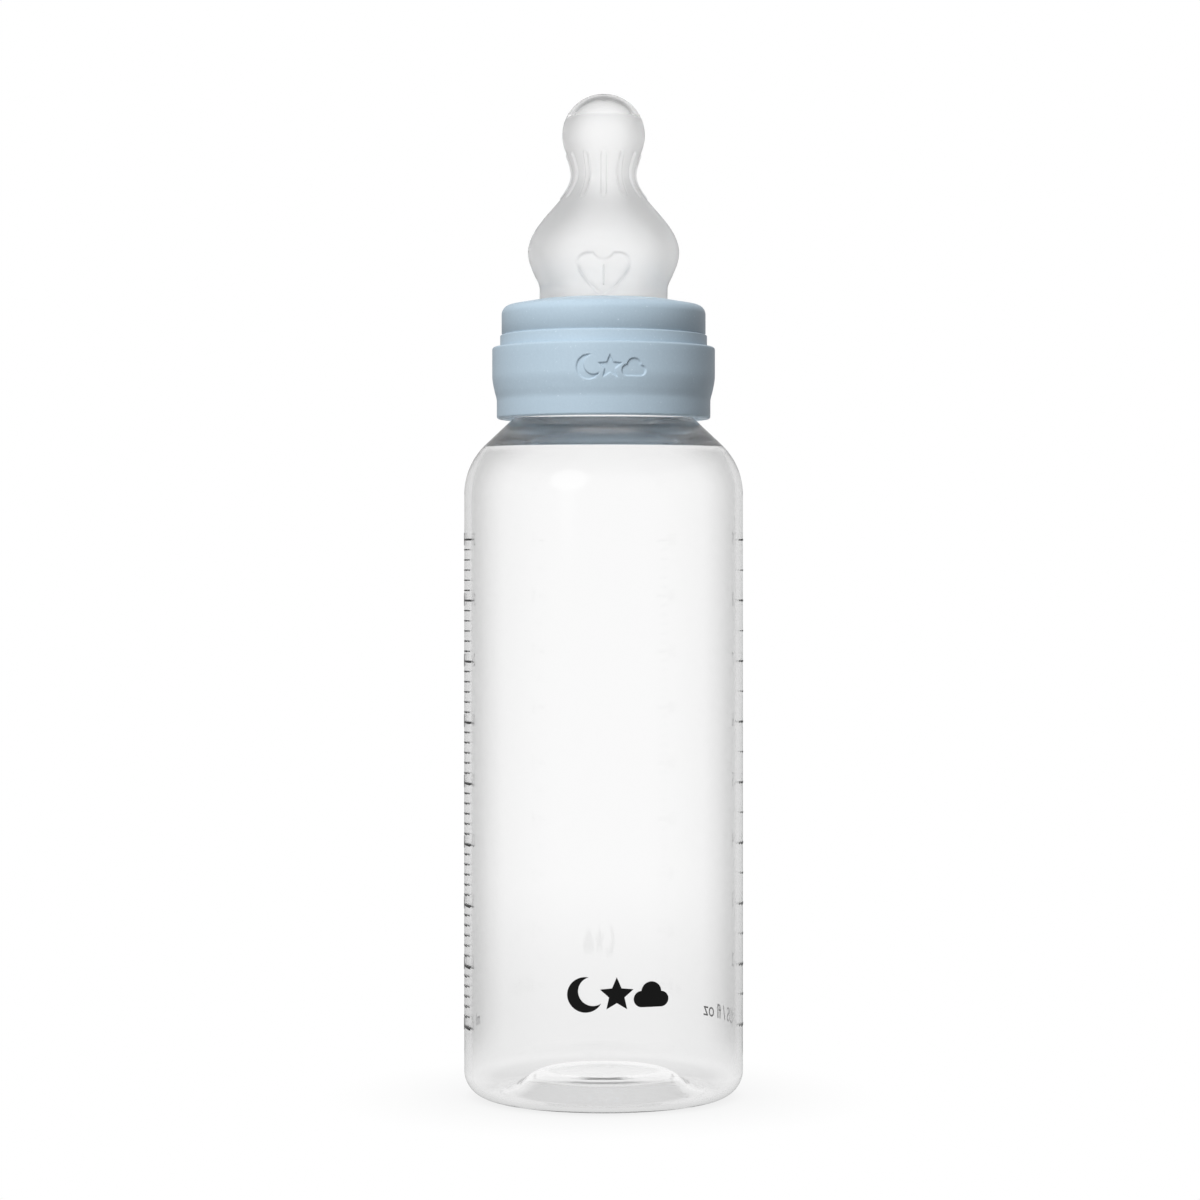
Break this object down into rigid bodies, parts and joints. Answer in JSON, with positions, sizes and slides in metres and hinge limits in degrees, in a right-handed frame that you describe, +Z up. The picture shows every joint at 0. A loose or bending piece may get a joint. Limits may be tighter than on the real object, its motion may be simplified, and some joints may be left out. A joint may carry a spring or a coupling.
{
  "type": "baby bottle",
  "caption": "Clear narrow-neck baby bottle with a threaded screw ring, a soft silicone teat with an air valve, and printed volume scales.",
  "frame": {"origin": "middle of the base, on the plane that the bottle stands on", "axes": "+Z up along the bottle's axis to the teat's tip; -Y is the front, with the printed mark and the heart-shaped air valve; +X is to the right seen from the front"},
  "size_m": [0.058, 0.0579, 0.2081],
  "materials": {
    "bottle_plastic": "clear polished plastic",
    "ring_plastic": "fine matte grain, pale blue",
    "teat_silicone": "frosted translucent silicone, clear at the tip",
    "print_ink": "black printed ink"
  },
  "bodies": {
    "bottle": {"bottle": "bottle_plastic", "ml_scale": "print_ink", "oz_scale": "print_ink", "front_mark": "print_ink"},
    "teat": {"teat": "teat_silicone"},
    "ring": {"screw_ring": "ring_plastic"}
  },
  "joints": [
    {"name": "teat_lift", "type": "slide", "parent": "bottle", "child": "teat", "axis": [0, 0, 1], "range_m": [0, 0.0075]},
    {"name": "ring_turn", "type": "hinge", "parent": "teat", "child": "ring", "pos_m": [0, 0, 0.152], "axis": [0, 0, 1], "range_deg": [0, 540]}
  ],
  "couplings": [
    {"joint": "teat_lift", "follows": "ring_turn", "m_per_rad": 0.00079577}
  ]
}
